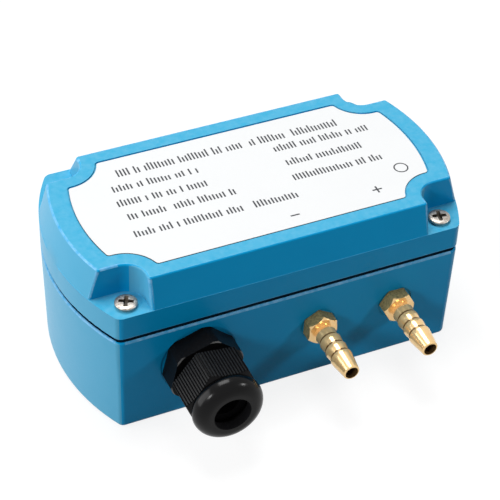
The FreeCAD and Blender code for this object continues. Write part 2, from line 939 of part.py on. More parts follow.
def hex_nut(label, x, hexagon, height, bore):
    """A nut inside the housing, tight against the front wall."""
    body = new_body(label)
    outline = Outline(body, "NutOutline", offset=s.seat_depth - s.base_wall)
    outline.polygon(hexagon * HEX_CORNER / 2, as_size(0.0))
    outline.circle(0.0, 0.0, bore)
    pad(body, "Nut", outline, height, down=True)
    stand_forward(body, x)
    return body


def make_gland_lock_nut():
    return hex_nut("gland_lock_nut", gland_x, s.lock_nut_hex, s.lock_nut_height,
                   s.gland_thread / 2 + s.gland_fit)


def make_gland_nut():
    """Ribbed hexagon that runs into a bulbous dome with the cable opening in it."""
    body = new_body("gland_nut")
    dome_top = dome_start + s.dome_nut_length
    bulge = s.dome_radius - s.dome_opening / 2 - s.dome_lip
    widest = dome_top - bulge
    lean = s.dome_neck_lean
    neck_drop = s.dome_neck * sine(lean)
    neck_in = s.dome_neck * (1 - cosine(lean))
    hex_end = widest - neck_drop
    flat = s.dome_nut_hex / 2
    corner = flat * HEX_CORNER
    hexagon = Outline(body, "HexOutline", offset=dome_start)
    hexagon.polygon(corner, s.dome_nut_turn)
    pad(body, "Hexagon", hexagon, hex_end - dome_start)

    trim = Outline(body, "CornerTrim", "XZ_Plane")
    trim.loop([
        (flat, hex_end),
        (corner, hex_end - s.dome_lip),
        (corner + s.dome_lip, hex_end - s.dome_lip),
        (corner + s.dome_lip, hex_end + s.dome_lip),
        (flat, hex_end + s.dome_lip),
    ])
    groove(body, "TurnedCorners", trim)

    ribs = Outline(body, "RibGrooves", offset=dome_start)
    turn = s.dome_nut_turn + HALF_SIDE
    for number in range(RIBS_PER_FLAT + 1):
        across = s.rib_pitch * (number - RIBS_PER_FLAT / 2)
        notch = [(flat - s.rib_depth, across),
                 (flat + s.rib_depth, across - s.rib_groove),
                 (flat + s.rib_depth, across + s.rib_groove)]
        ribs.loop([(x * cosine(turn) - y * sine(turn), x * sine(turn) + y * cosine(turn))
                   for x, y in notch])
    cut = pocket(body, "RibCut", ribs, forward=True)
    around(body, "RibsAllRound", cut, ribs, HEX_SIDES)

    dome = Outline(body, "DomeOutline", "XZ_Plane")
    dome.loop([
        (s.gland_thread / 2, hex_end - s.dome_lip),
        (s.dome_radius - neck_in, hex_end - s.dome_lip),
        (s.dome_radius - neck_in, hex_end,
         Arc((s.dome_radius - s.dome_neck, widest), s.dome_neck, 1)),
        (s.dome_radius, widest, Arc((s.dome_radius - bulge, widest), bulge, 1)),
        (s.dome_radius - bulge, dome_top),
        (s.dome_opening / 2, dome_top),
        (s.dome_opening / 2, widest),
    ])
    revolve(body, "Dome", dome)

    hollow = Outline(body, "HollowOutline", "XZ_Plane")
    clear = s.gland_thread / 2 + s.dome_nut_fit
    hollow.loop([
        (0.0, dome_start - s.dome_lip),
        (clear, dome_start - s.dome_lip),
        (clear, barrel_end + s.dome_nut_fit),
        (s.dome_opening / 2, widest + s.dome_lip),
        (s.dome_opening / 2, dome_top + s.dome_lip),
        (0.0, dome_top + s.dome_lip),
    ])
    groove(body, "Hollow", hollow)
    stand_forward(body, gland_x)
    return body


# ---------------------------------------------------------------- hose fittings

def make_port_fitting(label, x, turn):
    """Turned from hexagon bar: inner spigot, thread, hexagon and three hose barbs."""
    body = new_body(label)
    flat = s.fitting_hex / 2
    corner = flat * HEX_CORNER
    bevel = corner - flat
    hex_top = s.fitting_hex_length
    hexagon = Outline(body, "HexOutline")
    hexagon.polygon(corner, turn)
    pad(body, "Hexagon", hexagon, hex_top)
    trim = Outline(body, "CornerTrim", "XZ_Plane")
    trim.loop([
        (corner, hex_top - bevel),
        (corner + bevel, hex_top - bevel),
        (corner + bevel, hex_top + bevel),
        (flat, hex_top + bevel),
        (flat, hex_top),
    ])
    groove(body, "TurnedCorners", trim)

    bore = s.fitting_bore / 2
    outline = [
        (s.spigot_bore / 2, -thread_end - s.spigot_length),
        (s.spigot_radius, -thread_end - s.spigot_length),
        (s.spigot_radius, -thread_end),
        (s.fitting_thread / 2, -thread_end),
        (s.fitting_thread / 2, 0.0),
        (flat, 0.0),
        (flat, hex_top),
        (s.neck_radius, hex_top),
        (s.neck_radius, hex_top + s.neck_length),
        (s.neck_shoulder_radius, hex_top + s.neck_shoulder),
        (s.barb_root, hex_top + s.barb_neck),
    ]
    for number in range(BARBS):
        shoulder = hex_top + s.barb_neck + s.barb_pitch * number
        outline += [(s.barb_radius, shoulder), (s.barb_radius, shoulder + s.barb_land)]
        if number < BARBS - 1:
            outline.append((s.barb_root, shoulder + s.barb_pitch))
    tip = shoulder + s.barb_tip_length
    outline += [
        (s.barb_tip_radius, tip - s.barb_tip_bevel),
        (s.barb_tip_radius - s.barb_tip_bevel, tip),
        (bore, tip),
        (bore, s.fitting_bore_floor),
        (s.spigot_bore / 2, s.fitting_bore_floor),
    ]
    revolve(body, "TurnedStem", Outline(body, "TurnedOutline", "XZ_Plane").loop(outline))
    wide = Outline(body, "BoreOutline", offset=tip)
    wide.circle(0.0, 0.0, bore)
    pocket(body, "Bore", wide, tip - s.fitting_bore_floor)
    narrow = Outline(body, "SpigotBoreOutline", offset=tip)
    narrow.circle(0.0, 0.0, s.spigot_bore / 2)
    pocket(body, "SpigotBore", narrow)
    stand_forward(body, x)
    return body


def make_fitting_nut(label, x):
    return hex_nut(label, x, s.fitting_nut_hex, s.fitting_nut_height,
                   s.fitting_thread / 2 + s.fitting_fit)


# ---------------------------------------------------------------- inner pieces

def make_tube(label, fitting_x, sensor_port_x):
    """Silicone tube from a fitting's spigot to the sensor's, in one level S bend."""
    x0 = fitting_x.value
    x1 = sensor_port_x.value
    bend_start = (thread_end + s.spigot_length - seat).value
    bend_end = (sensor_front - s.tube_end_gap - s.tube_overlap).value
    start = bend_start - s.tube_overlap.value
    finish = bend_end + s.tube_overlap.value
    height = s.port_height.value
    shift = x1 - x0
    run = bend_end - bend_start
    bend = (run * run + shift * shift) / (4 * abs(shift))
    half = math.asin(run / (2 * bend)) / 2
    aside = math.copysign(bend * (1 - math.cos(half)), shift)
    ahead = bend * math.sin(half)

    def point(x, y):
        return FreeCAD.Vector(x, y, height)

    crossing = point((x0 + x1) / 2, (bend_start + bend_end) / 2)
    path = Part.Wire([
        Part.makeLine(point(x0, start), point(x0, bend_start)),
        Part.Arc(point(x0, bend_start), point(x0 + aside, bend_start + ahead),
                 crossing).toShape(),
        Part.Arc(crossing, point(x1 - aside, bend_end - ahead),
                 point(x1, bend_end)).toShape(),
        Part.makeLine(point(x1, bend_end), point(x1, finish)),
    ])
    inner = s.spigot_radius.value
    outer = inner + s.tube_wall.value
    sections = [Part.Face(Part.Wire(Part.makeCircle(radius, point(x0, start),
                                                    FreeCAD.Vector(0, 1, 0))))
                for radius in (outer, inner)]
    tube, core = [path.makePipe(section) for section in sections]
    feature = doc.addObject("Part::Feature", label)
    feature.Label = label
    feature.Shape = tube.cut(core).Solids[0]
    return feature


def block(label, x, y, length, width, height):
    """A plain moulded block on the circuit board, centred on x and y."""
    box = doc.addObject("Part::Box", label)
    box.Label = label
    bind(box, "Length", length)
    bind(box, "Width", width)
    bind(box, "Height", height)
    bind(box, "Placement.Base.x", x - length / 2)
    bind(box, "Placement.Base.y", y - width / 2)
    bind(box, "Placement.Base.z", board_top)
    return box


def make_circuit_board():
    body = new_body("circuit_board")
    outline = Outline(body, "BoardOutline", offset=s.board_height)
    outline.rectangle(as_size(0.0), (board_front + board_back) / 2,
                      board_half * 2, board_back - board_front)
    for x, y in board_screw_places():
        outline.circle(x, y, s.board_screw / 2 + s.screw_clearance)
    pad(body, "Board", outline, s.board_thickness)
    return body


def make_pressure_sensor():
    """Block with two spigots that face the front wall, level with the hose fittings."""
    body = new_body("pressure_sensor")
    outline = Outline(body, "CaseOutline", offset=board_top)
    outline.rectangle(sensor_x, sensor_front + s.sensor_depth / 2,
                      s.sensor_length, s.sensor_depth)
    pad(body, "Case", outline, s.sensor_height)
    fillet(body, "CaseEdges", s.sensor_round, lambda at, edge: is_upright(edge))
    reach = s.tube_overlap + s.tube_end_gap
    middle_y = sensor_front + s.sensor_depth / 2
    spigots = Outline(body, "SpigotOutline", "XZ_Plane", -middle_y)
    bores = Outline(body, "SpigotBores", "XZ_Plane", reach - sensor_front)
    for x in sensor_port_places():
        spigots.circle(x, s.port_height, s.spigot_radius)
        bores.circle(x, s.port_height, s.spigot_bore / 2)
    pad(body, "Spigots", spigots, reach + s.sensor_depth / 2)
    pocket(body, "SpigotBoring", bores, reach + s.sensor_depth / 2)
    return body


def sensor_port_places():
    return [sensor_x - s.sensor_port_pitch / 2, sensor_x + s.sensor_port_pitch / 2]


def make_terminal_block():
    body = new_body("terminal_block")
    outline = Outline(body, "CaseOutline", offset=board_top)
    outline.rectangle(terminal_x, terminal_y, s.terminal_pitch * TERMINALS,
                      s.terminal_depth)
    pad(body, "Case", outline, s.terminal_height)
    front = Outline(body, "WireMouths", "XZ_Plane", s.terminal_depth / 2 - terminal_y)
    top = Outline(body, "ScrewWells", offset=board_top + s.terminal_height)
    for x in terminal_places():
        front.rectangle(x, board_top + s.terminal_wire_height, s.terminal_wire_side,
                        s.terminal_wire_side)
        top.circle(x, terminal_y, s.terminal_screw / 2 + s.screw_fit)
    pocket(body, "WireEntries", front, s.terminal_wire_depth)
    pocket(body, "ScrewHoles", top, s.terminal_screw_length)
    return body


def terminal_places():
    return [terminal_x + s.terminal_pitch * (number - (TERMINALS - 1) / 2)
            for number in range(TERMINALS)]


def make_terminal_screws():
    radius = s.terminal_screw.value / 2
    length = s.terminal_screw_length.value
    screw = slotted(Part.makeCylinder(radius, length), radius * 3, s.terminal_slot.value,
                    s.terminal_slot_depth.value, length)
    return screw_set("terminal_screws", screw, [(x, terminal_y) for x in terminal_places()],
                     board_top + s.terminal_height - s.terminal_screw_length)


def make_trimmer(label, x):
    body = new_body(label)
    outline = Outline(body, "CaseOutline", offset=board_top)
    outline.rectangle(x, trimmer_y, s.trimmer_side, s.trimmer_side)
    pad(body, "Case", outline, s.trimmer_height)
    well = Outline(body, "ScrewWell", offset=board_top + s.trimmer_height)
    well.circle(x, trimmer_y, s.trimmer_screw / 2 + s.trimmer_fit)
    pocket(body, "Well", well, s.trimmer_screw_length)
    return body


def make_trimmer_screw(label, x):
    body = new_body(label)
    screw_top = board_top + s.trimmer_height + s.trimmer_float
    outline = Outline(body, "ScrewOutline", offset=screw_top)
    outline.circle(x, trimmer_y, s.trimmer_screw / 2)
    pad(body, "Screw", outline, s.trimmer_screw_length, down=True)
    slot = Outline(body, "SlotOutline", offset=screw_top)
    slot.rectangle(x, trimmer_y, s.trimmer_screw * 2, s.trimmer_slot)
    pocket(body, "Slot", slot, s.trimmer_slot)
    return body


def make_filter_capacitor():
    can = doc.addObject("Part::Cylinder", "filter_capacitor")
    can.Label = "filter_capacitor"
    bind(can, "Radius", s.capacitor_radius)
    bind(can, "Height", s.capacitor_height)
    bind(can, "Placement.Base.x", terminal_x + s.capacitor_pitch)
    bind(can, "Placement.Base.y", capacitor_y)
    bind(can, "Placement.Base.z", board_top)
    return can


# ---------------------------------------------------------------- build and export

def build():
    low_sensor, high_sensor = sensor_port_places()
    subparts = [
        make_base_housing(),
        make_cover(),
        make_cover_gasket(),
        make_name_plate(),
        make_cover_screws(),
        make_gland_body(),
        make_gland_o_ring(),
        make_gland_seal(),
        make_gland_lock_nut(),
        make_gland_nut(),
        make_port_fitting("port_fitting_low", low_x, s.low_fitting_turn),
        make_port_fitting("port_fitting_high", high_x, s.high_fitting_turn),
        make_fitting_nut("fitting_nut_low", low_x),
        make_fitting_nut("fitting_nut_high", high_x),
        make_tube("tube_low", low_x, low_sensor),
        make_tube("tube_high", high_x, high_sensor),
        make_circuit_board(),
        make_board_screws(),
        make_pressure_sensor(),
        make_terminal_block(),
        make_terminal_screws(),
        make_trimmer("zero_trimmer", zero_x),
        make_trimmer_screw("zero_trimmer_screw", zero_x),
        make_trimmer("span_trimmer", span_x),
        make_trimmer_screw("span_trimmer_screw", span_x),
        block("signal_chip", s.chip_x, chip_y, s.chip_length, s.chip_width, s.chip_height),
        block("loop_transistor", terminal_x, transistor_y,
              s.transistor_length, s.transistor_width, s.transistor_height),
        make_filter_capacitor(),
    ]
    doc.recompute()
    return subparts


def check(subparts):
    """Stop before anything is written if a feature failed or a shape is unsound."""
    for item in doc.Objects:
        if "Invalid" in item.State or "Error" in item.State:
            raise ValueError(f"{item.Label} failed: {item.State}")
    for part in subparts:
        if part.Shape.isNull() or not part.Shape.isValid():
            raise ValueError(f"{part.Label} has no sound shape")


def export(subparts):
    os.makedirs("parts", exist_ok=True)
    for part in subparts:
        part.Shape.exportStep(os.path.join("parts", part.Label + ".step"))
        solids = len(part.Shape.Solids)
        print(f"{part.Label}: {solids} solid(s), {part.Shape.Volume:.1f} mm3")


subparts = build()
check(subparts)
export(subparts)
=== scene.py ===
import math

import bmesh
import bpy
from mathutils import Matrix, Vector


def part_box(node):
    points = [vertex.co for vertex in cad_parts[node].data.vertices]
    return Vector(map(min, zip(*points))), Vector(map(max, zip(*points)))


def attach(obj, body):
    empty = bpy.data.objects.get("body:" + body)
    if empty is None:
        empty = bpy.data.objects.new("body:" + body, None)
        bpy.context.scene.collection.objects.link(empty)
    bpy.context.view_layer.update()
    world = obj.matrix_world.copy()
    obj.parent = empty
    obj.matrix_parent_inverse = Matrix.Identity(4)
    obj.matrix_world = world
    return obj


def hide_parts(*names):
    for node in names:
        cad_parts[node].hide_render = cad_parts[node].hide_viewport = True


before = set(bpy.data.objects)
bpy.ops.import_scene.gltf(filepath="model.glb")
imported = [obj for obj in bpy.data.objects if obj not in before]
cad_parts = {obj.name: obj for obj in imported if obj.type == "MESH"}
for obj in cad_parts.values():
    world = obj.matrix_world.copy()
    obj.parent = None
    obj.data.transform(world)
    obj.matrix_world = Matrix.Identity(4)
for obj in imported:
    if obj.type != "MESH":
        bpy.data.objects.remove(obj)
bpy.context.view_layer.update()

# Differential pressure transmitter: painted die-cast housing, printed plate, nylon cable
# gland and turned brass hose fittings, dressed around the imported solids.
# Lengths are metres in the frame's axes: +X along the housing, +Y to the back, +Z up.
# The screws and the print on the plate are laid out in millimetres and scaled at the end.

MM = 0.001

PLATE_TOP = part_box("name_plate")[1].z
SCREWS_LOW, SCREWS_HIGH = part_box("cover_screws")
LAND_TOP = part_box("base_housing")[1].z
PLAIN_HEAD_HEIGHT = 2.6 * MM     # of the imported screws, above the ledge that they sit on
LEDGE = SCREWS_HIGH.z - PLAIN_HEAD_HEIGHT


# ---------------------------------------------------------------- shader arithmetic

class Wire:
    """A shader socket that takes part in plain arithmetic."""

    def __init__(self, finish, socket):
        self.finish = finish
        self.socket = socket

    def maths(self, operation, *values):
        """The result of one Math node on sockets and numbers."""
        return self.finish.node("ShaderNodeMath", {"operation": operation},
                                dict(enumerate(values)))

    def __add__(self, other):
        return self.maths("ADD", self, other)

    def __radd__(self, other):
        return self.maths("ADD", other, self)

    def __sub__(self, other):
        return self.maths("SUBTRACT", self, other)

    def __rsub__(self, other):
        return self.maths("SUBTRACT", other, self)

    def __mul__(self, other):
        return self.maths("MULTIPLY", self, other)

    def __rmul__(self, other):
        return self.maths("MULTIPLY", other, self)


class Finish:
    """A procedural material around one Principled shader."""

    def __init__(self, name, colour, roughness, **constants):
        self.material = bpy.data.materials.new(name)
        self.material.use_nodes = True
        self.tree = self.material.node_tree
        self.shader = self.tree.nodes["Principled BSDF"]
        self.set("Base Color", (*colour, 1.0))
        self.set("Roughness", roughness)
        for socket, value in constants.items():
            self.set(socket.replace("_", " "), value)

    def node(self, kind, settings=None, inputs=None, output=0):
        """A new node's output, with its settings made first and its sockets fed after."""
        made = self.tree.nodes.new(kind)
        for key, value in (settings or {}).items():
            setattr(made, key, value)
        for key, value in (inputs or {}).items():
            self.feed(made.inputs[key], value)
        return Wire(self, made.outputs[output])

    def feed(self, socket, value):
        """Link a wire to a socket, or set a plain value on it."""
        if isinstance(value, Wire):
            self.tree.links.new(value.socket, socket)
        else:
            socket.default_value = value

    def set(self, name, value):
        """Feed one socket of the Principled shader."""
        self.feed(self.shader.inputs[name], value)

    def place(self):
        """The point in the piece's own coordinates."""
        return self.node("ShaderNodeTexCoord", output="Object")

    def noise(self, grain, detail=2.0, stretch=(1.0, 1.0, 1.0)):
        """Cloudy values about 0.5, with patches as long as grain."""
        point = self.node("ShaderNodeMapping", None,
                          {"Vector": self.place(), "Scale": stretch})
        return self.node("ShaderNodeTexNoise", None,
                         {"Vector": point, "Scale": 1.0 / grain, "Detail": detail})

    def mix(self, factor, first, second):
        """Colour that goes from first to second; each is a triple or a wire."""
        ends = [(*end, 1.0) if isinstance(end, tuple) else end for end in (first, second)]
        return self.node("ShaderNodeMix", {"data_type": "RGBA"},
                         {0: factor, 6: ends[0], 7: ends[1]}, 2)

    def bump(self, height, depth, strength):
        """Raise the surface by depth where height is 1."""
        self.set("Normal", self.node("ShaderNodeBump", None,
                                     {"Height": height, "Distance": depth,
                                      "Strength": strength}))


# ---------------------------------------------------------------- finishes

def baked_paint(name, deep, pale, patches, level):
    """Baked paint on a casting: satin, with a slight orange peel."""
    paint = Finish(name, deep, 0.36, Specular_IOR_Level=level)
    cloud = paint.noise(patches, 3.0)
    peel = paint.noise(0.8 * MM, 3.0)
    paint.set("Base Color", paint.mix(1.6 * cloud - 0.3, deep, pale))
    paint.set("Roughness", 0.29 + 0.14 * peel)
    paint.bump(peel, 0.03 * MM, 0.4)
    return paint.material


def printed_plate():
    """White printed plate with a soft sheen."""
    plate = Finish("white_plate", (0.76, 0.77, 0.775), 0.4, Specular_IOR_Level=0.2)
    cloud = plate.noise(20 * MM)
    grain = plate.noise(0.35 * MM)
    plate.set("Base Color", plate.mix(cloud, (0.74, 0.752, 0.758), (0.765, 0.775, 0.78)))
    plate.set("Roughness", 0.35 + 0.12 * grain)
    plate.bump(grain, 0.004 * MM, 0.3)
    return plate.material


def plate_edge_shade():
    """The plate's sheared edge, dull and darkened as painted shade of the recess."""
    return speckled("plate_edge_shade", (0.06, 0.07, 0.08), (0.12, 0.13, 0.14), 0.5, 0.3 * MM)


def plate_ink():
    """Dark screen-printed ink, a little uneven."""
    ink = Finish("plate_ink", (0.05, 0.052, 0.06), 0.5, Specular_IOR_Level=0.3)
    worn = ink.noise(0.5 * MM, 3.0)
    ink.set("Base Color", ink.mix(worn, (0.02, 0.021, 0.026), (0.06, 0.063, 0.07)))
    return ink.material


def turned_brass(name, deep, pale, metallic):
    """Brass with fine rings from the lathe, square to the fitting's axis."""
    brass = Finish(name, pale, 0.25, Metallic=metallic, Specular_IOR_Level=0.5)
    rings = brass.noise(0.16 * MM, 1.0, (0.01, 1.0, 0.01))
    cloud = brass.noise(2.5 * MM)
    brass.set("Base Color", brass.mix(0.5 * rings + 0.5 * cloud, deep, pale))
    brass.set("Roughness", 0.10 + 0.10 * rings)
    brass.bump(rings, 0.002 * MM, 0.4)
    return brass.material


def drawn_brass():
    """The hexagon's flats: drawn bar with a dull olive skin."""
    brass = Finish("drawn_brass", (0.34, 0.25, 0.10), 0.5, Metallic=0.3,
                   Specular_IOR_Level=0.3)
    cloud = brass.noise(0.7 * MM, 4.0)
    drawn = brass.noise(0.3 * MM, 3.0, (1.0, 0.08, 1.0))
    brass.set("Base Color", brass.mix(1.8 * cloud - 0.4, (0.12, 0.10, 0.045),
                                      (0.50, 0.38, 0.16)))
    brass.set("Roughness", 0.40 + 0.2 * drawn)
    brass.bump(drawn, 0.012 * MM, 0.5)
    return brass.material


def moulded_nylon():
    """Black nylon as it leaves a spark-eroded mould."""
    nylon = Finish("moulded_nylon", (0.004, 0.004, 0.0045), 0.32, Specular_IOR_Level=0.09)
    grain = nylon.noise(0.45 * MM, 3.0)
    nylon.set("Base Color", nylon.mix(grain, (0.001, 0.001, 0.0014),
                                      (0.007, 0.007, 0.0075)))
    nylon.set("Roughness", 0.24 + 0.16 * grain)
    nylon.bump(grain, 0.03 * MM, 0.6)
    return nylon.material


def polished_nylon():
    """The nut's dome, smooth and glossy."""
    nylon = Finish("polished_nylon", (0.001, 0.001, 0.001), 0.17, Specular_IOR_Level=0.15)
    cloud = nylon.noise(3 * MM)
    nylon.set("Roughness", 0.17 + 0.06 * cloud)
    nylon.set("Base Color", nylon.mix(cloud, (0.0008, 0.0008, 0.001),
                                      (0.002, 0.002, 0.0022)))
    return nylon.material


def highlighted_nylon(name, pale, level):
    """Corners and rib crests of the nylon, paler and glossier: painted highlight."""
    nylon = Finish(name, pale, 0.3, Specular_IOR_Level=level)
    grain = nylon.noise(0.5 * MM, 3.0)
    nylon.set("Base Color", nylon.mix(1.6 * grain - 0.3, (0.002, 0.002, 0.002), pale))
    nylon.set("Roughness", 0.25 + 0.2 * grain)
    nylon.bump(grain, 0.02 * MM, 0.5)
    return nylon.material


def stainless_steel():
    """Pressed screw heads with a fine brushed grain."""
    steel = Finish("stainless", (0.38, 0.34, 0.30), 0.4, Metallic=1.0)
    cloud = steel.noise(0.6 * MM, 4.0)
    steel.set("Base Color", steel.mix(1.6 * cloud - 0.3, (0.20, 0.17, 0.14),
                                      (0.56, 0.51, 0.46)))
    steel.set("Roughness", 0.32 + 0.2 * cloud)
    steel.bump(cloud, 0.012 * MM, 0.35)
    return steel.material


def painted_recess_shade():
    """The pressed cross, darkened: painted shade in the recess."""
    steel = Finish("painted_recess_shade", (0.06, 0.05, 0.04), 0.5, Metallic=0.8)
    shade_mottle = steel.noise(0.4 * MM, 3.0)
    steel.set("Base Color", steel.mix(shade_mottle, (0.035, 0.028, 0.022), (0.12, 0.10, 0.08)))
    steel.set("Roughness", 0.35 + 0.3 * shade_mottle)
    return steel.material


def speckled(name, colour, paler, roughness, grain, **constants):
    """A plain material with a fine mottle, for rubber, the pieces inside, and the dark
    edges and seam that paint shade.
    """
    made = Finish(name, colour, roughness, **constants)
    mottle = made.noise(grain, 3.0)
    made.set("Base Color", made.mix(mottle, colour, paler))
    made.set("Roughness", (roughness - 0.05) + 0.1 * mottle)
    made.bump(mottle, 0.01 * MM, 0.3)
    return made.material


BLUE_PAINT = baked_paint("blue_paint", (0.0, 0.295, 0.61), (0.0, 0.32, 0.65),
                         14 * MM, 0.14)
# paler, speckled blue on the faces that look up: painted sheen of the light from above
TOP_SHEEN_PAINT = baked_paint("top_sheen_paint", (0.03, 0.36, 0.59), (0.10, 0.42, 0.63),
                        1.8 * MM, 0.20)
# paler, greyer blue on the housing's ends: painted sheen of the side light
END_SHEEN_PAINT = baked_paint("end_sheen_paint", (0.07, 0.355, 0.56), (0.08, 0.365, 0.57),
                        5 * MM, 0.18)
# pale blue on thin corner strips: painted highlight where rounded edges catch the light,
# with some paint wear
EDGE_WEAR_AND_HIGHLIGHT = baked_paint("edge_wear_and_highlight_paint", (0.0, 0.30, 0.60), (0.22, 0.50, 0.76),
                         1.5 * MM, 0.4)
WHITE_PLATE = printed_plate()
PLATE_EDGE_SHADE = plate_edge_shade()
PLATE_INK = plate_ink()
TURNED_BRASS = turned_brass("turned_brass", (0.84, 0.53, 0.20), (1.0, 0.72, 0.38), 0.55)
# dark brass for the painted shade in the bores and in the roots behind the barbs
ROOT_SHADE_BRASS = turned_brass("painted_root_shade_brass", (0.10, 0.05, 0.02), (0.26, 0.15, 0.05), 0.4)
DRAWN_BRASS = drawn_brass()
MOULDED_NYLON = moulded_nylon()
POLISHED_NYLON = polished_nylon()
# paler nylon that paints the highlights on corners, the mouth's edge and the rib crests
EDGE_HIGHLIGHT_NYLON = highlighted_nylon("highlighted_nylon", (0.05, 0.05, 0.05), 0.4)
CREST_HIGHLIGHT_NYLON = highlighted_nylon("crest_highlight_nylon", (0.018, 0.018, 0.018), 0.14)
STAINLESS = stainless_steel()
# dark steel that paints the shade in the screws' cross recess
RECESS_SHADE_STEEL = painted_recess_shade()
BLACK_RUBBER = speckled("black_rubber", (0.003, 0.003, 0.004), (0.008, 0.008, 0.009), 0.7,
                        0.5 * MM, Specular_IOR_Level=0.1)
# near-black navy on the seam's faces: painted shade of the gap under the cover
SEAM_SHADE = speckled("painted_seam_shade", (0.0, 0.008, 0.02), (0.0, 0.016, 0.035), 0.7,
                       0.5 * MM, Specular_IOR_Level=0.1)
SILICONE = speckled("silicone", (0.70, 0.70, 0.66), (0.78, 0.78, 0.74), 0.35, 2 * MM)
BOARD_GREEN = speckled("green_laminate", (0.02, 0.17, 0.06), (0.04, 0.24, 0.09), 0.35,
                       1.5 * MM)
SENSOR_CASE = speckled("sensor_case", (0.66, 0.66, 0.62), (0.74, 0.74, 0.70), 0.5, 1 * MM)
TERMINAL_GREEN = speckled("green_terminal", (0.05, 0.36, 0.12), (0.08, 0.44, 0.17), 0.5,
                          1 * MM)
TRIMMER_BLUE = speckled("trimmer_blue", (0.03, 0.10, 0.44), (0.05, 0.14, 0.52), 0.35,
                        1 * MM)
BLACK_MOULDING = speckled("black_moulding", (0.02, 0.02, 0.02), (0.035, 0.035, 0.035), 0.55,
                          0.5 * MM)
CAPACITOR_CAN = speckled("capacitor_can", (0.62, 0.62, 0.64), (0.72, 0.72, 0.74), 0.3,
                         0.6 * MM, Metallic=1.0)


# ---------------------------------------------------------------- meshes

JOIN_REACH = 0.002 * MM
CREASE = 30.0


def add_piece(name, mesh, body, slot, *nodes):
    """Show a finished mesh as a piece that rides on a body and stands for CAD nodes."""
    piece = bpy.data.objects.new(name, mesh)
    bpy.context.scene.collection.objects.link(piece)
    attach(piece, body)
    if nodes:
        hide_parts(*nodes)
    return piece


def evaluated_mesh(thing):
    """The thing's mesh with its modifiers worked in."""
    graph = bpy.context.evaluated_depsgraph_get()
    graph.update()
    return bpy.data.meshes.new_from_object(thing.evaluated_get(graph),
                                           preserve_all_data_layers=True, depsgraph=graph)


def smooth_below(work, crease):
    """Smooth shading, broken at the edges where faces meet at more than crease degrees."""
    limit = math.radians(crease)
    for face in work.faces:
        face.smooth = True
    for edge in work.edges:
        edge.smooth = len(edge.link_faces) == 2 and edge.calc_face_angle(0.0) < limit


def joined_copy(node, *materials, choose, mend=None):
    """A CAD node's triangles joined up, smooth except across the edges of its shape.

    choose gives each face the number of its material, and mend may reshape the copy first.
    """
    work = bmesh.new()
    work.from_mesh(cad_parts[node].data)
    bmesh.ops.remove_doubles(work, verts=work.verts, dist=JOIN_REACH)
    if mend:
        mend(work)
    for face in work.faces:
        face.material_index = choose(face)
    smooth_below(work, CREASE)
    mesh = bpy.data.meshes.new(node + "_joined")
    work.to_mesh(mesh)
    work.free()
    for material in materials:
        mesh.materials.append(material)
    return weighted(mesh)


def weighted(mesh):
    """Let each vertex normal follow its largest faces, so flats stay flat beside rounds."""
    holder = bpy.data.objects.new("holder", mesh)
    bpy.context.scene.collection.objects.link(holder)
    modifier = holder.modifiers.new("normals", "WEIGHTED_NORMAL")
    modifier.keep_sharp = True
    modifier.weight = 80
    made = evaluated_mesh(holder)
    bpy.data.objects.remove(holder)
    return made


def revolved(profile, steps):
    """Solid of revolution about Z from (radius, height) points, closed on the axis."""
    work = bmesh.new()
    verts = [work.verts.new((radius, 0.0, height)) for radius, height in profile]
    edges = [work.edges.new(pair) for pair in zip(verts, verts[1:])]
    bmesh.ops.spin(work, geom=verts + edges, cent=(0, 0, 0), axis=(0, 0, 1),
                   angle=2 * math.pi, steps=steps, use_duplicate=False)
    bmesh.ops.remove_doubles(work, verts=work.verts, dist=1e-5)
    bmesh.ops.recalc_face_normals(work, faces=work.faces)
    return work


# ---------------------------------------------------------------- cover screws

# in millimetres, from the head's underside
HEAD_RADIUS = 3.5
HEAD_HEIGHT = 1.75
HEAD_EDGE = 1.2
HEAD_UNDERCUT = 0.55
HEAD_STEPS = 48
CROWN_STEPS = 10
SHANK_RADIUS = 1.95
POINT_RADIUS = 1.4
POINT_LENGTH = 0.6
CROSS_LENGTH = 4.7
CROSS_WIDTH = 1.2
CROSS_DEPTH = 1.4
CROSS_HEART = 1.15
CUTTER_SPARE = 0.4
SCREW_CREASE = 35.0
SCREW_SEED = 4


def cross_cutter():
    """The tapered four-winged tip that presses the recess, in millimetres."""
    work = bmesh.new()
    above = HEAD_HEIGHT + CUTTER_SPARE
    below = HEAD_HEIGHT - CROSS_DEPTH
    for turn in (0.0, math.pi / 2):
        rings = []
        for height, long, wide in ((above, CROSS_LENGTH * 1.12, CROSS_WIDTH * 1.15),
                                   (below, CROSS_LENGTH * 0.55, CROSS_WIDTH * 0.7)):
            rings.append([work.verts.new(Matrix.Rotation(turn, 3, "Z")
                                         @ Vector((x * long / 2, y * wide / 2, height)))
                          for x, y in ((-1, -1), (1, -1), (1, 1), (-1, 1))])
        top, bottom = rings
        work.faces.new(top)
        work.faces.new(bottom[::-1])
        for side in range(4):
            after = (side + 1) % 4
            work.faces.new((top[after], top[side], bottom[side], bottom[after]))
    bmesh.ops.create_cone(work, segments=24, cap_ends=True, radius1=CROSS_HEART * 0.55,
                          radius2=CROSS_HEART, depth=above - below,
                          matrix=Matrix.Translation((0, 0, (above + below) / 2)))
    bmesh.ops.recalc_face_normals(work, faces=work.faces)
    mesh = bpy.data.meshes.new("cutter")
    work.to_mesh(mesh)
    work.free()
    mesh.materials.append(RECESS_SHADE_STEEL)
    return mesh


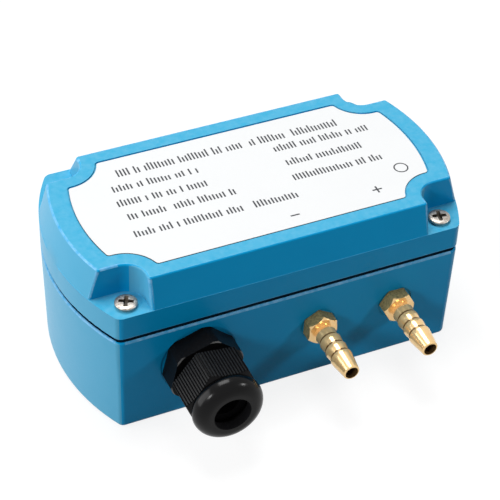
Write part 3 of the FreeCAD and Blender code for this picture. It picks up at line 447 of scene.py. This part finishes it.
def screw_head():
    """A low pan head with a cross recess and the shank below it, in metres."""
    shank = (LEDGE - SCREWS_LOW.z) / MM
    profile = [(0.0, -shank), (POINT_RADIUS, -shank), (SHANK_RADIUS, POINT_LENGTH - shank),
               (SHANK_RADIUS, 0.0), (HEAD_RADIUS - HEAD_UNDERCUT, 0.0),
               (HEAD_RADIUS - 0.1, HEAD_UNDERCUT + 0.05),
               (HEAD_RADIUS, HEAD_UNDERCUT + 0.2), (HEAD_RADIUS, HEAD_EDGE)]
    crown = HEAD_HEIGHT - HEAD_EDGE
    for step in range(1, CROWN_STEPS):
        angle = math.pi / 2 * step / CROWN_STEPS
        profile.append((HEAD_RADIUS * math.cos(angle) ** 0.5,
                        HEAD_EDGE + crown * math.sin(angle)))
    profile.append((0.0, HEAD_HEIGHT))
    work = revolved(profile, HEAD_STEPS)
    mesh = bpy.data.meshes.new("screw_head")
    work.to_mesh(mesh)
    work.free()
    mesh.materials.append(STAINLESS)
    head = bpy.data.objects.new("screw_head", mesh)
    cutter = bpy.data.objects.new("cutter", cross_cutter())
    for thing in (head, cutter):
        bpy.context.scene.collection.objects.link(thing)
    cut = head.modifiers.new("recess", "BOOLEAN")
    cut.object = cutter
    cut.solver = "EXACT"
    cut.use_self = True
    cut.material_mode = "TRANSFER"
    made = evaluated_mesh(head)
    for spare in (head, cutter):
        bpy.data.objects.remove(spare)
    made.transform(Matrix.Scale(MM, 4))
    work = bmesh.new()
    work.from_mesh(made)
    bmesh.ops.remove_doubles(work, verts=work.verts, dist=JOIN_REACH / 2)
    smooth_below(work, SCREW_CREASE)
    work.to_mesh(made)
    work.free()
    return made


class Tree:
    """A geometry node tree with named inputs."""

    def __init__(self, name, **inputs):
        self.tree = bpy.data.node_groups.new(name, "GeometryNodeTree")
        face = self.tree.interface
        face.new_socket("Geometry", in_out="OUTPUT", socket_type="NodeSocketGeometry")
        face.new_socket("Geometry", in_out="INPUT", socket_type="NodeSocketGeometry")
        self.names = {}
        for label, kind in inputs.items():
            made = face.new_socket(label, in_out="INPUT", socket_type="NodeSocket" + kind)
            self.names[label] = made.identifier
        self.start = self.tree.nodes.new("NodeGroupInput")
        self.end = self.tree.nodes.new("NodeGroupOutput")

    def given(self, label):
        """The socket of one of the tree's inputs."""
        return self.start.outputs[label]

    def node(self, kind, settings=None, inputs=None):
        """A new node, with its settings made first and its inputs linked or set after."""
        made = self.tree.nodes.new(kind)
        for key, value in (settings or {}).items():
            setattr(made, key, value)
        for key, value in (inputs or {}).items():
            if isinstance(value, bpy.types.NodeSocket):
                self.tree.links.new(value, made.inputs[key])
            else:
                made.inputs[key].default_value = value
        return made

    def finish(self, geometry, material, where):
        """Realize, and set the material on the faces with a lower index than where."""
        solid = self.node("GeometryNodeRealizeInstances", None, {"Geometry": geometry})
        index = self.node("GeometryNodeInputMaterialIndex")
        chosen = self.node("FunctionNodeCompare", {"data_type": "INT",
                                                   "operation": "LESS_THAN"},
                           {2: index.outputs[0], 3: where})
        painted = self.node("GeometryNodeSetMaterial", None,
                            {"Geometry": solid.outputs[0], "Selection": chosen.outputs[0],
                             "Material": material})
        self.tree.links.new(painted.outputs[0], self.end.inputs[0])

    def made(self, mesh, **values):
        """The mesh that this tree makes from one seed mesh and the given sizes."""
        holder = bpy.data.objects.new("holder", mesh)
        bpy.context.scene.collection.objects.link(holder)
        modifier = holder.modifiers.new("tree", "NODES")
        modifier.node_group = self.tree
        for label, value in values.items():
            modifier[self.names[label]] = value
        result = evaluated_mesh(holder)
        bpy.data.objects.remove(holder)
        return result


def repeat_tree():
    """Set copies of the seed mesh on a level grid, each turned and shortened at random."""
    tree = Tree("repeat_on_grid", Columns="Int", Rows="Int", Length="Float", Width="Float",
                Centre="Vector", Turn="Float", Shortest="Float", Gaps="Float", Seed="Int",
                Material="Material", Painted="Int")
    grid = tree.node("GeometryNodeMeshGrid", None, {
        "Size X": tree.given("Length"), "Size Y": tree.given("Width"),
        "Vertices X": tree.given("Columns"), "Vertices Y": tree.given("Rows")})
    moved = tree.node("GeometryNodeSetPosition", None, {
        "Geometry": grid.outputs["Mesh"], "Offset": tree.given("Centre")})
    points = tree.node("GeometryNodeMeshToPoints", None, {"Mesh": moved.outputs[0]})
    dropped = tree.node("FunctionNodeRandomValue", {"data_type": "BOOLEAN"}, {
        "Probability": tree.given("Gaps"), "Seed": tree.given("Seed")})
    kept = tree.node("GeometryNodeDeleteGeometry", None, {
        "Geometry": points.outputs[0], "Selection": dropped.outputs[3]})
    turn = tree.node("FunctionNodeRandomValue", {"data_type": "FLOAT"}, {
        2: 0.0, 3: tree.given("Turn"), "Seed": tree.given("Seed")})
    turned = tree.node("ShaderNodeCombineXYZ", None, {"Z": turn.outputs[1]})
    reach = tree.node("FunctionNodeRandomValue", {"data_type": "FLOAT"}, {
        2: tree.given("Shortest"), 3: 1.0, "Seed": tree.given("Seed")})
    scale = tree.node("ShaderNodeCombineXYZ", None,
                      {"X": 1.0, "Y": reach.outputs[1], "Z": 1.0})
    copies = tree.node("GeometryNodeInstanceOnPoints", None, {
        "Points": kept.outputs[0], "Instance": tree.given("Geometry"),
        "Rotation": turned.outputs[0], "Scale": scale.outputs[0]})
    tree.finish(copies.outputs[0], tree.given("Material"), tree.given("Painted"))
    return tree


REPEAT = repeat_tree()


def cover_screws():
    """Four screws with their heads on the cover's ledge, each stopped at its own angle."""
    spread_x = SCREWS_HIGH.x - SCREWS_LOW.x - 2 * HEAD_RADIUS * MM
    spread_y = SCREWS_HIGH.y - SCREWS_LOW.y - 2 * HEAD_RADIUS * MM
    mesh = REPEAT.made(screw_head(), Columns=2, Rows=2, Length=spread_x, Width=spread_y,
                       Centre=(0.0, 0.0, LEDGE), Turn=math.pi / 2, Shortest=1.0, Gaps=0.0,
                       Seed=SCREW_SEED, Material=STAINLESS, Painted=1)
    add_piece("cover_screw_set", mesh, "housing", "stainless", "cover_screws")


# ---------------------------------------------------------------- printed plate

PRINT_THICKNESS = 0.02 * MM
PRINT_LEAN = math.radians(-1.0)
# centre x, foot y, length and height of each row of printed ticks, in millimetres
PRINTED_ROWS = [
    (0.3, 16.0, 76.0, 4.4),
    (-27.3, 9.7, 29.0, 3.9),
    (-27.8, 2.6, 29.5, 3.9),
    (-24.7, -4.4, 37.0, 3.9),
    (-15.5, -12.8, 55.0, 3.9),
    (31.0, 9.8, 36.0, 3.9),
    (27.2, 2.1, 27.0, 3.9),
    (28.3, -5.6, 31.5, 3.9),
]
TICK_PITCH = 1.15
TICK_WIDTH = 0.55
TICK_SHARE = 0.85       # of its row's height
SHORTEST_TICK = 0.6     # of the tallest
LEFT_OUT = 0.18         # of the ticks, for the gaps between groups
FIRST_ROW_SEED = 3
# sizes and places of the port marks and the ring
MINUS = (3.0, 0.55)
MINUS_PLACE = (5.8, -21.0)
PLUS_REACH = 1.6
PLUS_HALF = 0.28
PLUS_PLACE = (34.8, -19.0)
RING_RADIUS = 2.4
RING_WIDTH = 0.45
RING_STEPS = 40
RING_PLACE = (46.8, -12.0)


def flat_print(outlines):
    """Thin raised print from closed outlines in millimetres."""
    work = bmesh.new()
    for points in outlines:
        work.faces.new([work.verts.new((x * MM, y * MM, 0.0)) for x, y in points])
    bmesh.ops.remove_doubles(work, verts=work.verts, dist=1e-7)
    solid = bmesh.ops.extrude_face_region(work, geom=work.faces[:])
    for item in solid["geom"]:
        if isinstance(item, bmesh.types.BMVert):
            item.co.z += PRINT_THICKNESS
    bmesh.ops.recalc_face_normals(work, faces=work.faces)
    mesh = bpy.data.meshes.new("print")
    work.to_mesh(mesh)
    work.free()
    mesh.materials.append(PLATE_INK)
    return mesh


def bar(width, height):
    """A bar's outline standing on y = 0."""
    return [(-width / 2, 0.0), (width / 2, 0.0), (width / 2, height), (-width / 2, height)]


def cross_outline(reach, half):
    """A plus sign's outline about its middle."""
    corners = [(half, half), (half, reach), (-half, reach), (-half, half)]
    turned = []
    for turn in range(4):
        angle = turn * math.pi / 2
        turned += [(x * math.cos(angle) - y * math.sin(angle),
                    x * math.sin(angle) + y * math.cos(angle)) for x, y in corners[:3]]
    return turned


def ring_outlines(radius, width):
    """A plain ring's band, as a run of four-sided outlines."""
    def at(distance, step):
        angle = 2 * math.pi * step / RING_STEPS
        return (distance * math.cos(angle), distance * math.sin(angle))

    return [[at(radius, step), at(radius, step + 1), at(radius - width, step + 1),
             at(radius - width, step)] for step in range(RING_STEPS)]


def print_on_plate(name, mesh, x, y):
    """Lay a print on the plate, leaning with the others."""
    mesh.transform(Matrix.Translation((x * MM, y * MM, PLATE_TOP - PRINT_THICKNESS / 4))
                   @ Matrix.Rotation(PRINT_LEAN, 4, "Z"))
    add_piece(name, mesh, "housing", "white_plate")


def name_plate():
    """The plate with its edge darkened as painted shade, rows of ticks, port marks and
    ring.
    """
    def edge_or_face(face):
        return 1 if abs(face.normal.z) < 0.5 else 0

    plate = joined_copy("name_plate", WHITE_PLATE, PLATE_EDGE_SHADE, choose=edge_or_face)
    add_piece("printed_plate", plate, "housing", "white_plate", "name_plate")
    for number, (x, y, length, height) in enumerate(PRINTED_ROWS):
        ticks = round(length / TICK_PITCH)
        row = REPEAT.made(flat_print([bar(TICK_WIDTH, height * TICK_SHARE)]), Columns=ticks,
                          Rows=1, Length=(ticks - 1) * TICK_PITCH * MM, Width=0.0,
                          Centre=(0.0, 0.0, 0.0), Turn=0.0, Shortest=SHORTEST_TICK,
                          Gaps=LEFT_OUT, Seed=FIRST_ROW_SEED + number,
                          Material=PLATE_INK, Painted=1)
        print_on_plate(f"print_row_{number + 1}", row, x, y)
    print_on_plate("low_port_mark", flat_print([bar(*MINUS)]), *MINUS_PLACE)
    print_on_plate("high_port_mark", flat_print([cross_outline(PLUS_REACH, PLUS_HALF)]),
                   *PLUS_PLACE)
    print_on_plate("plain_ring", flat_print(ring_outlines(RING_RADIUS, RING_WIDTH)),
                   *RING_PLACE)


# ---------------------------------------------------------------- housing

SEAM_FROM = 0.1 * MM         # the open seam, down from the base's land, whose faces carry painted shade
SEAM_TO = 1.43 * MM
CORNER_STRIP = 0.22 * MM
BENT = math.radians(3.0)
# faces turned more than this towards the ends get the painted sheen
END_SLOPE = 0.5
FOOT_ROUND = 1.6 * MM
FOOT_STEPS = 4
FOOT_JOIN = 0.15 * MM
STRAIGHT_FOOT = 8 * MM
ON_LEDGE = 0.02 * MM
FLAT = math.radians(0.3)


def narrow(face, strip=CORNER_STRIP, slimness=5.0):
    """True for the long thin strips that round or bevel a piece's corners."""
    longest = max(edge.calc_length() for edge in face.edges)
    width = 2 * face.calc_area() / longest
    bends = any(edge.calc_length() > longest / 2 and len(edge.link_faces) == 2
                and edge.calc_face_angle() > BENT for edge in face.edges)
    return bends and width < strip and longest > slimness * width


def round_crown_foot(work):
    """Join the crown to the skirt below it, with a soft round along the straight sides."""
    def on_ledge(vert):
        return abs(vert.co.z - LEDGE) < ON_LEDGE

    bmesh.ops.remove_doubles(work, verts=[vert for vert in work.verts if on_ledge(vert)],
                             dist=FOOT_JOIN)
    bmesh.ops.dissolve_limit(work, angle_limit=FLAT, verts=work.verts, edges=work.edges)
    corner = []
    for edge in work.edges:
        if len(edge.link_faces) != 2 or not all(map(on_ledge, edge.verts)):
            continue
        rises = sorted(face.normal.z for face in edge.link_faces)
        upright_to_slope = abs(rises[0]) < 0.05 and 0.1 < rises[1] < 0.7
        if upright_to_slope and edge.calc_length() > STRAIGHT_FOOT:
            corner.append(edge)
    bmesh.ops.bevel(work, geom=corner, offset=FOOT_ROUND, offset_type="OFFSET",
                    segments=FOOT_STEPS, profile=0.5, affect="EDGES", clamp_overlap=True)


def base_finish(face):
    """1 for painted shade in the seam, 2 on corners paled as painted highlight and wear, 3
    on the bowed ends paled as painted sheen and 0 elsewhere.
    """
    in_seam = SEAM_FROM < LAND_TOP - face.calc_center_median().z < SEAM_TO
    if in_seam and (abs(face.normal.z) < 0.3 or face.normal.z > 0.99):
        return 1
    # corner strips are paled as painted highlight and wear
    if narrow(face):
        return 2
    return 3 if abs(face.normal.x) > END_SLOPE else 0


def cover_finish(face):
    """1 on the faces that look up, paler as painted sheen, 2 on corners paled as painted
    highlight and wear, 3 on the ends paled as painted sheen and 0 elsewhere.
    """
    if narrow(face):
        # only corners that face up or sideways are paled, as painted highlight and wear
        return 2 if face.normal.z > -0.2 else 0
    if face.normal.z > 0.9:
        return 1
    return 3 if abs(face.normal.x) > END_SLOPE else 0


def housing():
    """The two painted castings, with a dark line of painted shade in the seam."""
    base = joined_copy("base_housing", BLUE_PAINT, SEAM_SHADE, EDGE_WEAR_AND_HIGHLIGHT, END_SHEEN_PAINT,
                       choose=base_finish)
    add_piece("housing_base", base, "housing", "blue_paint", "base_housing")
    cover = joined_copy("cover", BLUE_PAINT, TOP_SHEEN_PAINT, EDGE_WEAR_AND_HIGHLIGHT, END_SHEEN_PAINT,
                        choose=cover_finish, mend=round_crown_foot)
    add_piece("housing_cover", cover, "housing", "blue_paint", "cover")


# ---------------------------------------------------------------- gland and fittings

DOME_LENGTH = 5.2 * MM
MOUTH_EDGE = 6.35 * MM
HEXAGON_BEVEL = 0.6 * MM
RIDGE = math.radians(15.0)


def about_axis(node):
    """A turned piece's front end, and a function that places its faces about its axis.

    The function gives how far behind the front end a face is, its distance from the axis
    and how much it looks away from the axis, from 1 down to -1 in a bore.
    """
    low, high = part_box(node)
    axis = (low + high) / 2

    def seen_from_axis(face):
        at = face.calc_center_median()
        out = Vector((at.x - axis.x, 0.0, at.z - axis.z))
        return at.y - low.y, out.length, face.normal.dot(out.normalized())

    return low.y, seen_from_axis


def crest(face):
    """True where every sharp edge of a small face is a ridge."""
    sharp = [edge for edge in face.edges if edge.calc_face_angle(0.0) > RIDGE]
    return bool(sharp) and all(edge.is_convex for edge in sharp)


def gland():
    """The hexagon that is screwed into the wall, and the dome nut on it."""
    def body_finish(face):
        """1 on the hexagon's front bevel, paled as painted highlight, and 0 elsewhere."""
        ahead = -0.93 < face.normal.y < -0.15
        return 1 if ahead and narrow(face, HEXAGON_BEVEL, 0.8) else 0

    body = joined_copy("gland_body", MOULDED_NYLON, EDGE_HIGHLIGHT_NYLON, choose=body_finish)
    add_piece("gland_hexagon", body, "housing", "black_nylon", "gland_body")

    _, seen_from_axis = about_axis("gland_nut")

    def nut_finish(face):
        """1 on the dome, 2 on the mouth's edge as painted highlight, 3 in the bore and 4 on
        the rib crests as painted highlight.
        """
        behind, radius, outward = seen_from_axis(face)
        if outward < -0.5:
            return 3
        if behind > DOME_LENGTH:
            return 4 if outward > 0.8 and crest(face) else 0
        return 2 if radius < MOUTH_EDGE and face.normal.y < -0.3 else 1

    nut = joined_copy("gland_nut", MOULDED_NYLON, POLISHED_NYLON, EDGE_HIGHLIGHT_NYLON,
                      BLACK_RUBBER, CREST_HIGHLIGHT_NYLON, choose=nut_finish)
    add_piece("dome_nut", nut, "clamping_nut", "black_nylon", "gland_nut")


# behind the fitting's tip: each barb's step, and the painted shade line in the root behind
# it
BARB_STEPS = (7.2 * MM, 11.0 * MM, 14.8 * MM)
ROOT_LENGTH = 0.95 * MM
STEM_RADIUS = 3.8 * MM


def hose_fitting(node):
    """The barbed fitting, with a painted shade line in the root behind each barb."""
    tip, seen_from_axis = about_axis(node)

    def cut_at_roots(work):
        for step in BARB_STEPS:
            whole = work.verts[:] + work.edges[:] + work.faces[:]
            bmesh.ops.bisect_plane(work, geom=whole, plane_no=(0.0, 1.0, 0.0),
                                   plane_co=(0.0, tip + step + ROOT_LENGTH, 0.0))

    def fitting_finish(face):
        """1 on the hexagon's flats, 2 for painted shade in the bore and the roots, 0 for
        bright brass.
        """
        behind, radius, outward = seen_from_axis(face)
        if outward < -0.5:
            return 2
        if radius > STEM_RADIUS:
            return 1 if abs(face.normal.y) < 0.2 else 0
        return 2 if any(step < behind < step + ROOT_LENGTH for step in BARB_STEPS) else 0

    mesh = joined_copy(node, TURNED_BRASS, DRAWN_BRASS, ROOT_SHADE_BRASS, mend=cut_at_roots,
                       choose=fitting_finish)
    add_piece(node.replace("port_", "barbed_"), mesh, "housing", "brass", node)


# ---------------------------------------------------------------- pieces inside

INSIDE = {
    BLACK_RUBBER: ["cover_gasket", "gland_o_ring", "gland_seal"],
    MOULDED_NYLON: ["gland_lock_nut"],
    TURNED_BRASS: ["fitting_nut_low", "fitting_nut_high", "zero_trimmer_screw",
                   "span_trimmer_screw"],
    SILICONE: ["tube_low", "tube_high"],
    BOARD_GREEN: ["circuit_board"],
    STAINLESS: ["board_screws", "terminal_screws"],
    SENSOR_CASE: ["pressure_sensor"],
    TERMINAL_GREEN: ["terminal_block"],
    TRIMMER_BLUE: ["zero_trimmer", "span_trimmer"],
    BLACK_MOULDING: ["signal_chip", "loop_transistor"],
    CAPACITOR_CAN: ["filter_capacitor"],
}


def paint_inner_pieces():
    """Give the CAD pieces that stay as they are their own finishes."""
    for material, nodes in INSIDE.items():
        for node in nodes:
            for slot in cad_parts[node].material_slots:
                slot.material = material


# ---------------------------------------------------------------- studio

VIEW_TARGET = Vector((0.0007, -0.0006, 0.0281))
VIEW_DISTANCE = 0.58
VIEW_AZIMUTH = math.radians(25.66)
VIEW_ELEVATION = math.radians(40.67)
VIEW_ROLL = math.radians(2.3)
LENS = 129.9
SENSOR = 36.0
NEAR_CLIP = 0.01
FAR_CLIP = 50.0

# name, direction and distance from the object's middle, side in metres, power in watts
SOFTBOXES = [
    ("overhead_softbox", (0.0, 0.25, 0.97), 1.0, 0.50, 8.0),
    ("left_softbox", (-0.74, -0.42, 0.52), 0.9, 0.16, 2.1),
    ("right_softbox", (0.70, -0.50, 0.51), 0.45, 0.075, 0.42),
    ("side_panel", (-0.93, 0.15, 0.35), 1.0, 0.8, 8.0),
]
SURROUND_LIGHT = 0.06
SURROUND_WHITE = 1.0
FLOOR_REACH = 6.0
FLOOR_DROP = 0.05 * MM
PAPER_GREY = 0.2
# the floor's own white near the object, where the lamps add to it, and far from it
WHITE_NEAR = 0.84
WHITE_FAR = 1.0
NEAR = 0.25
FAR = 1.5


def camera():
    """The camera at its angle, with the roll that it was held at."""
    ahead = Vector((math.sin(VIEW_AZIMUTH) * math.cos(VIEW_ELEVATION),
                    math.cos(VIEW_AZIMUTH) * math.cos(VIEW_ELEVATION),
                    -math.sin(VIEW_ELEVATION)))
    level = Vector((math.cos(VIEW_AZIMUTH), -math.sin(VIEW_AZIMUTH), 0.0))
    upright = level.cross(ahead)
    right = level * math.cos(VIEW_ROLL) + upright * math.sin(VIEW_ROLL)
    up = right.cross(ahead)
    data = bpy.data.cameras.new("camera")
    data.lens = LENS
    data.sensor_width = SENSOR
    data.clip_start = NEAR_CLIP
    data.clip_end = FAR_CLIP
    view = bpy.data.objects.new("camera", data)
    bpy.context.scene.collection.objects.link(view)
    view.matrix_world = Matrix.LocRotScale(
        VIEW_TARGET - ahead * VIEW_DISTANCE,
        Matrix((right, up, -ahead)).transposed().to_quaternion(), None)
    bpy.context.scene.camera = view


def softbox(name, direction, distance, side, power):
    """A square area light that faces the object's middle."""
    data = bpy.data.lights.new(name, "AREA")
    data.shape = "SQUARE"
    data.size = side
    data.energy = power
    light = bpy.data.objects.new(name, data)
    bpy.context.scene.collection.objects.link(light)
    away = Vector(direction).normalized()
    light.location = VIEW_TARGET + away * distance
    light.rotation_euler = away.to_track_quat("Z", "Y").to_euler()


def white_where_seen(tree, plain, white):
    """White to the camera, in gloss and through glass; plain to the bounced light."""
    paths = tree.nodes.new("ShaderNodeLightPath")
    seen = paths.outputs["Is Camera Ray"]
    for ray in ("Is Glossy Ray", "Is Transmission Ray"):
        either = tree.nodes.new("ShaderNodeMath")
        either.operation = "MAXIMUM"
        tree.links.new(seen, either.inputs[0])
        tree.links.new(paths.outputs[ray], either.inputs[1])
        seen = either.outputs[0]
    mixed = tree.nodes.new("ShaderNodeMix")
    mixed.inputs[2].default_value = plain
    if isinstance(white, Wire):
        tree.links.new(white.socket, mixed.inputs[3])
    else:
        mixed.inputs[3].default_value = white
    tree.links.new(seen, mixed.inputs[0])
    return mixed.outputs[0]


def surround():
    """A world that is white where it is seen and gives little light."""
    world = bpy.data.worlds.new("studio")
    bpy.context.scene.world = world
    world.use_nodes = True
    background = world.node_tree.nodes["Background"]
    background.inputs["Color"].default_value = (1.0, 1.0, 1.0, 1.0)
    world.node_tree.links.new(
        white_where_seen(world.node_tree, SURROUND_LIGHT, SURROUND_WHITE),
        background.inputs["Strength"])


def floor_paper():
    """Grey paper that is seen as white, so that it still takes the object's shadow."""
    paper = Finish("floor_paper", (PAPER_GREY,) * 3, 1.0, Specular_IOR_Level=0.0,
                   Emission_Color=(1.0, 1.0, 1.0, 1.0))
    away = paper.node("ShaderNodeVectorMath", {"operation": "LENGTH"}, {0: paper.place()},
                      "Value")
    white = paper.node("ShaderNodeMapRange", None, {
        "Value": away, "From Min": NEAR, "From Max": FAR,
        "To Min": WHITE_NEAR, "To Max": WHITE_FAR})
    paper.tree.links.new(white_where_seen(paper.tree, 0.0, white),
                         paper.shader.inputs["Emission Strength"])
    return paper.material


def studio():
    """Softboxes, a pale floor and a white surround."""
    surround()
    for lamp in SOFTBOXES:
        softbox(*lamp)
    mesh = bpy.data.meshes.new("floor")
    corners = [(x * FLOOR_REACH, y * FLOOR_REACH, 0.0)
               for x, y in ((-1, -1), (1, -1), (1, 1), (-1, 1))]
    mesh.from_pydata(corners, [], [(0, 1, 2, 3)])
    mesh.materials.append(floor_paper())
    floor = bpy.data.objects.new("floor", mesh)
    floor.location.z = -FLOOR_DROP
    bpy.context.scene.collection.objects.link(floor)
    bpy.context.scene.view_settings.view_transform = "Standard"


# ---------------------------------------------------------------- the whole scene

housing()
name_plate()
cover_screws()
gland()
for fitting in ("port_fitting_low", "port_fitting_high"):
    hose_fitting(fitting)
paint_inner_pieces()
camera()
studio()
